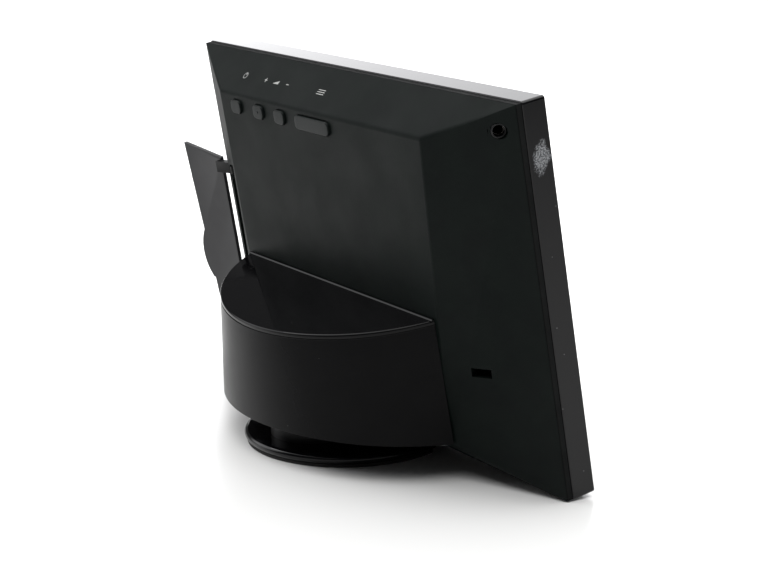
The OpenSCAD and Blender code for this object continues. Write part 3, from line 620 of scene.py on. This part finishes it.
def buildDrumCap():
    # a D-shaped plate on the slope: a low bead along the frame, a rounded rim, a plug beneath
    share = np.linspace(-1, 1, 301)
    r, thick, groove = drum["rimRound"], drum["capThick"], drum["groove"]
    plug = drum["wall"] + 0.15
    rows = [chordRow(drop, off, share) for drop, off in capBead]
    turn = np.linspace(0, math.pi / 2, 8)
    rim = [(r + 0.4, 0.0)] + list(zip(r * (1 - np.sin(turn)), r * (1 - np.cos(turn))))
    rim += [(0.0, thick - 0.2), (0.06, thick - 0.06), (0.2, thick), (groove, thick),
            (groove, thick + groove - drum["seam"]), (plug, thick + groove - drum["seam"]),
            (plug, thick + drum["plugDeep"])]
    rows += [arcRow(inset, None, drop, share) for inset, drop in rim]
    rows.append(chordRow(thick + drum["plugDeep"], 0.3, share))
    piece = surface("drum_cap_plate", np.array(rows), pianoCap, wrapRows=True)
    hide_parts("drum_cap")


buildDrumWall()
buildDrumCap()

footDisc = dict(radius=36.5, thick=3.0, pad=1.2, frontCut=14.0, hold=0.3)


def footArc(share, inset, height):
    # a row round the disc's edge, from one end of the straight cut to the other
    radius = footDisc["radius"] - inset
    angle = share * math.acos(-footDisc["frontCut"] / radius)
    return np.stack([radius * np.sin(angle), radius * np.cos(angle),
                     np.full_like(share, height)], -1)


def footChord(share, inset, height):
    # a row along the straight cut: half its length from the radius and the cut's distance
    halfX = math.sqrt((footDisc["radius"] - inset) ** 2 - footDisc["frontCut"] ** 2)
    return np.stack([share * halfX, np.full_like(share, -footDisc["frontCut"]),
                     np.full_like(share, height)], -1)


def buildFoot():
    # a disc with a half-round rim, its front cut straight: section rows round the arc,
    # closed by straight rows on the cut
    share = np.linspace(-1, 1, 181)
    half = footDisc["thick"] / 2
    turn = np.linspace(-math.pi / 2, math.pi / 2, 15)
    inset = half * (1 - np.cos(turn))
    height = footDisc["pad"] + half * (1 + np.sin(turn))
    hold = footDisc["hold"]
    rows = [footChord(share, inset[0], height[0]), footArc(share, inset[0] + hold, height[0])]
    rows += [footArc(share, i, z) for i, z in zip(inset, height)]
    rows += [footArc(share, inset[-1] + hold, height[-1]),
             footChord(share, inset[-1], height[-1])]
    piece = surface("foot_disc", np.array(rows), glossFoot, wrapRows=True)
    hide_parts("foot_plate")


buildFoot()

buttons = dict(wide=[6.8, 6.8, 6.8, 22.0], tall=4.8, corner=1.75,
               places=[53.4, 37.2, 22.3, 0.2], rise=114.1,
               proud=0.9, crown=0.05, edge=0.3, deep=2.15, flange=0.9, flangeThick=1.0,
               backLow=27.2, backDrop=2.7, dotRadius=0.5, dotHigh=0.22)
buttonNodes = ["sleep_button", "volume_up_button", "volume_down_button", "menu_button"]
buttonBodies = ["sleep_key", "volume_up_key", "volume_down_key", "menu_key"]
backTilt = math.atan(buttons["backDrop"] / frameTall)


def onBack(x, out, up):
    # world mm from x, height above the back face, and distance up that face
    depth = buttons["backLow"] + out * math.cos(backTilt) - up * math.sin(backTilt)
    rise = out * math.sin(backTilt) + up * math.cos(backTilt)
    return leaning(x, depth, rise)


def buildButton(which):
    # rounded rectangles stacked from the flange up over a rounded edge to a low crown
    wide, tall, e = buttons["wide"][which], buttons["tall"], buttons["edge"]
    low, proud = -buttons["deep"] - buttons["flangeThick"], buttons["proud"]
    stack = [(-tall / 2, low), (buttons["flange"], low), (buttons["flange"], -buttons["deep"]),
             (0.0, -buttons["deep"]), (0.0, proud - e)]
    for t in np.linspace(0, math.pi / 2, 6)[1:]:
        stack.append((-e * (1 - math.cos(t)), proud - e * (1 - math.sin(t))))
    for k in np.linspace(0, 1, 7)[1:]:
        stack.append((-e - k * (tall / 2 - e),
                      proud + buttons["crown"] * math.sin(k * math.pi / 2)))
    rings = []
    for grow, out in stack:
        radius = max(buttons["corner"] + grow, 0.02)
        x, z = roundedOutline(wide / 2 + grow, max(tall / 2 + grow, 0.001), radius)
        rings.append(onBack(x + buttons["places"][which], out, z + buttons["rise"]))
    piece = surface(buttonNodes[which] + "_cap", np.array(rings), pebbledButton,
                    buttonBodies[which], wrapColumns=True)
    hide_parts(buttonNodes[which])


for which in range(4):
    buildButton(which)


def buildDot(which):
    # a shallow dome for the fingertip: radius times cos, height times sin, and a closed base
    turn = np.linspace(0, 2 * math.pi, 32, endpoint=False)
    base = buttons["proud"] + buttons["crown"] * 0.6
    rise = np.linspace(0, math.pi / 2, 7)
    stack = [(0.0, base)] + list(zip(buttons["dotRadius"] * np.cos(rise),
                                     base + buttons["dotHigh"] * np.sin(rise)))
    rings = [onBack(buttons["places"][which] + r * np.cos(turn), out,
                    buttons["rise"] + r * np.sin(turn)) for r, out in stack]
    surface("fingertip_dot", np.array(rings), pebbledButton, buttonBodies[which],
            wrapColumns=True)


buildDot(1)

door = dict(armReach=7.9)
softPieces = {
    "rear_housing": (0.22, pebbledAbs, "textured_black"),
    "side_door": (0.2, satinDoor, "door_black"),
    "mid_frame": (0.12, satinStrip, "strip_black"),
    "headphone_jack": (0.2, inletNylon, "chip_black"),
    "foot_pad": (0.2, siliconePad, "foot_rubber")}
for nodeName, (width, material, slotName) in softPieces.items():
    piece = softened(nodeName, width, material)
    if nodeName == "side_door":
        # faces within armReach of the hinge's line are the arms, which get a darker copy of
        # the door's satin ABS as painted shade
        piece.data.materials.append(armPaintedShade)
        count = len(piece.data.polygons)
        centre = np.empty(count * 3)
        piece.data.polygons.foreach_get("center", centre)
        offset = centre.reshape(-1, 3) / mm - np.array(hinge["pos_m"]) / mm
        across = np.linalg.norm(np.cross(offset, riseAxis), axis=1)
        isArm = (across < door["armReach"]).astype(np.int32)
        piece.data.polygons.foreach_set("material_index", isArm)
print("stage: body pieces made")

# the jack's spring sleeve, and the gold contacts inside the sockets
jack = dict(x=-92.3, depth=13.37, rise=121.4, aim=29.0, mouth=-3.5, end=-9.0, outer=1.78,
            inner=1.7)
jackOut = np.array([-math.cos(math.radians(jack["aim"])), math.sin(math.radians(jack["aim"]))])


def buildSleeve():
    # a tube along the bore: centre plus radius times (cos, sin) on the two crosswise ways
    turn = np.linspace(0, 2 * math.pi, 48, endpoint=False)
    rows = []
    for radius, along in ((jack["outer"], jack["mouth"]), (jack["inner"], jack["mouth"]),
                          (jack["inner"], jack["end"]), (jack["outer"], jack["end"])):
        x = jack["x"] + along * jackOut[0] + radius * np.cos(turn) * jackOut[1]
        depth = jack["depth"] + along * jackOut[1] - radius * np.cos(turn) * jackOut[0]
        rows.append(leaning(x, depth, jack["rise"] + radius * np.sin(turn)))
    surface("jack_sleeve", np.array(rows), nickelPlate, wrapRows=True, wrapColumns=True)


buildSleeve()

# Begin and end are how far inside the socket's mouth a contact starts and stops
contacts = dict(mouth=74.45, usbRise=42.0, cardRise=62.0, usbPitch=2.5, cardPitch=2.5,
                wide=1.1, thick=0.12, usbDepth=16.16, cardDepth=14.6,
                usbBegin=13, usbEnd=3, cardBegin=9, cardEnd=2)
for k in range(4):
    rise = contacts["usbRise"] + (k - 1.5) * contacts["usbPitch"]
    leaningBlock("usb_contact_%d" % k,
                 (contacts["mouth"] - contacts["usbBegin"], contacts["usbDepth"],
                  rise - contacts["wide"] / 2),
                 (contacts["mouth"] - contacts["usbEnd"],
                  contacts["usbDepth"] + contacts["thick"],
                  rise + contacts["wide"] / 2), goldContact)
for k in range(9):
    rise = contacts["cardRise"] + (k - 4) * contacts["cardPitch"]
    leaningBlock("card_contact_%d" % k,
                 (contacts["mouth"] - contacts["cardBegin"], contacts["cardDepth"],
                  rise - contacts["wide"] / 2),
                 (contacts["mouth"] - contacts["cardEnd"],
                  contacts["cardDepth"] + contacts["thick"],
                  rise + contacts["wide"] / 2), goldContact)
print("stage: sockets fitted")

# signs on the housing's top slope, which falls from its front edge to the ridge
signs = dict(rise=123.6, depth=18.5, slope=37.59, lift=0.02, thick=0.04, sleepX=55.2,
             ringOuter=1.25, ringInner=1.0, sleepBar=(0.85, 0.28, 1.3), plusX=40.2,
             plusArm=0.85, stroke=0.3, minusX=25.2, minusWide=1.7, menuX=2.4, menuPitch=0.85,
             menuWide=4.6, menuThick=0.28)
# the volume wedge's corners, as x and distance up the slope
signWedge = [[31.2, -0.7], [34.4, -0.7], [34.4, -0.45], [31.2, 0.7]]


def onTop(x, along, lift):
    # world mm from x, distance up the slope from the signs' line, and height above it
    slope = math.radians(signs["slope"])
    depth = signs["depth"] - along * math.cos(slope) + lift * math.sin(slope)
    rise = signs["rise"] + along * math.sin(slope) + lift * math.cos(slope)
    return leaning(x, depth, rise)


def buildSign(name, outline, hole=None):
    # a flat outline, or a ring between two outlines, raised by the ink's thickness
    outer = np.array(outline)
    inner = np.array(hole) if hole is not None else outer * 0 + outer.mean(0)
    low, high = signs["lift"], signs["lift"] + signs["thick"]
    rows = [onTop(p[:, 0], p[:, 1], np.full(len(p), lift))
            for p, lift in ((inner, low), (outer, low), (outer, high), (inner, high))]
    return surface(name, np.array(rows), printWhite, wrapRows=True, wrapColumns=True)


def circlePoints(x, radius, count=48):
    turn = np.linspace(0, 2 * math.pi, count, endpoint=False)
    return np.stack([x + radius * np.cos(turn), radius * np.sin(turn)], -1)


def barPoints(x, y, wide, tall):
    return np.array([[x - wide / 2, y - tall / 2], [x + wide / 2, y - tall / 2],
                     [x + wide / 2, y + tall / 2], [x - wide / 2, y + tall / 2]])


def crossPoints(x, arm, thick):
    a, t = arm, thick / 2
    shape = [(-t, -a), (t, -a), (t, -t), (a, -t), (a, t), (t, t), (t, a), (-t, a), (-t, t),
             (-a, t), (-a, -t), (-t, -t)]
    return np.array(shape) + [x, 0]


buildSign("sign_sleep_ring", circlePoints(signs["sleepX"], signs["ringOuter"]),
          circlePoints(signs["sleepX"], signs["ringInner"]))
buildSign("sign_sleep_bar", barPoints(signs["sleepX"], *signs["sleepBar"]))
buildSign("sign_volume_up", crossPoints(signs["plusX"], signs["plusArm"], signs["stroke"]))
buildSign("sign_volume_wedge", np.array(signWedge))
buildSign("sign_volume_down", barPoints(signs["minusX"], 0, signs["minusWide"],
                                        signs["stroke"]))
for k in range(3):
    buildSign("sign_menu_%d" % k, barPoints(signs["menuX"], (k - 1) * signs["menuPitch"],
                                            signs["menuWide"], signs["menuThick"]))

# a pale glossy table: one flat plane, floorSide metres across
floorSide = 6
floorMaterial = bpy.data.materials.new("whiteAcrylicTable")
floorTree = emptyTree(floorMaterial)
floorPlace = addNode(floorTree, "ShaderNodeTexCoord")
floorCloud = addNode(floorTree, "ShaderNodeTexNoise", {
    "Vector": (floorPlace, "Object"), "Scale": perSize(160)})
floorBase = addNode(floorTree, "ShaderNodeMix", {
    "Factor": (floorCloud, "Fac"), mixA: toLinear("#f0f0ef"), mixB: toLinear("#f4f4f3")},
    data_type="RGBA")
floorShader = addNode(floorTree, "ShaderNodeBsdfPrincipled", {
    "Base Color": (floorBase, mixOut), "Roughness": 0.22, "Specular IOR Level": 0.5})
addNode(floorTree, "ShaderNodeOutputMaterial", {"Surface": (floorShader, "BSDF")})
bpy.ops.mesh.primitive_plane_add(size=floorSide, location=(0, 0, 0))
floor = bpy.context.object
floor.name = "studio_floor"
floor.data.materials.append(floorMaterial)

view = dict(place=(-0.565746, 0.339318, 0.216173), heading=237.91, pitch=76.06, roll=-0.98,
            lens=92.61, sensor=36)
lensData = bpy.data.cameras.new("camera")
lensData.sensor_width = view["sensor"]
lensData.lens = view["lens"]
lensData.clip_start = 0.01
camera = bpy.data.objects.new("camera", lensData)
scene.collection.objects.link(camera)
camera.matrix_world = (Matrix.Translation(view["place"])
                       @ Matrix.Rotation(math.radians(view["heading"]), 4, "Z")
                       @ Matrix.Rotation(math.radians(view["pitch"]), 4, "X")
                       @ Matrix.Rotation(math.radians(view["roll"]), 4, "Z"))
scene.camera = camera


def softbox(name, place, target, wide, tall, power):
    data = bpy.data.lights.new(name, "AREA")
    data.shape = "RECTANGLE"
    data.size, data.size_y = wide, tall
    data.energy = power
    lamp = bpy.data.objects.new(name, data)
    scene.collection.objects.link(lamp)
    aim = Vector(target) - Vector(place)
    turned = aim.to_track_quat("-Z", "Y").to_matrix().to_4x4()
    lamp.matrix_world = Matrix.Translation(place) @ turned


overhead = dict(place=(0.25, -0.1, 1.9), target=(0.25, -0.1, 0), side=3.4, power=98)
softbox("overheadBox", overhead["place"], overhead["target"], overhead["side"],
        overhead["side"], overhead["power"])

# a dim room with one small bright patch and one broad soft fill, each by its direction
world = bpy.data.worlds.new("studioRoom")
scene.world = world
worldTree = emptyTree(world)
direction = addNode(worldTree, "ShaderNodeTexCoord")
glow = dict(toward=(0.814, -0.528, 0.242), base=0.08, far=0.1, window=2.5, begins=0.966,
            full=0.983, fillToward=(0.72, 0.52, 0.46), fill=2.3, fillBegins=0.86)
toWindow = tuple(Vector(glow["toward"]).normalized())
facing = addNode(worldTree, "ShaderNodeVectorMath", {
    0: (direction, "Generated"), 1: toWindow}, operation="DOT_PRODUCT")
wall = addNode(worldTree, "ShaderNodeMapRange", {
    "Value": (facing, "Value"), "From Min": -0.2, "From Max": 0.9, "To Min": glow["base"],
    "To Max": glow["far"]}, interpolation_type="SMOOTHSTEP")
window = addNode(worldTree, "ShaderNodeMapRange", {
    "Value": (facing, "Value"), "From Min": glow["begins"], "From Max": glow["full"],
    "To Min": 0.0, "To Max": glow["window"]}, interpolation_type="SMOOTHSTEP")
toFill = tuple(Vector(glow["fillToward"]).normalized())
besideFill = addNode(worldTree, "ShaderNodeVectorMath", {
    0: (direction, "Generated"), 1: toFill}, operation="DOT_PRODUCT")
fill = addNode(worldTree, "ShaderNodeMapRange", {
    "Value": (besideFill, "Value"), "From Min": glow["fillBegins"], "From Max": 1.0,
    "To Min": 0.0, "To Max": glow["fill"]}, interpolation_type="SMOOTHSTEP")
lit = addNode(worldTree, "ShaderNodeMath", {0: (wall, "Result"), 1: (window, "Result")},
              operation="ADD")
strength = addNode(worldTree, "ShaderNodeMath", {0: (lit, "Value"), 1: (fill, "Result")},
                   operation="ADD")
background = addNode(worldTree, "ShaderNodeBackground", {
    "Color": toLinear("#fdfdff"), "Strength": (strength, "Value")})
plain = addNode(worldTree, "ShaderNodeBackground", {"Color": toLinear("#fdfdfd")})
ray = addNode(worldTree, "ShaderNodeLightPath")
shown = addNode(worldTree, "ShaderNodeMixShader", {
    0: (ray, "Is Camera Ray"), 1: (background, "Background"), 2: (plain, "Background")})
addNode(worldTree, "ShaderNodeOutputWorld", {"Surface": (shown, "Shader")})
scene.view_settings.view_transform = "Standard"
print("stage: camera and lights set")
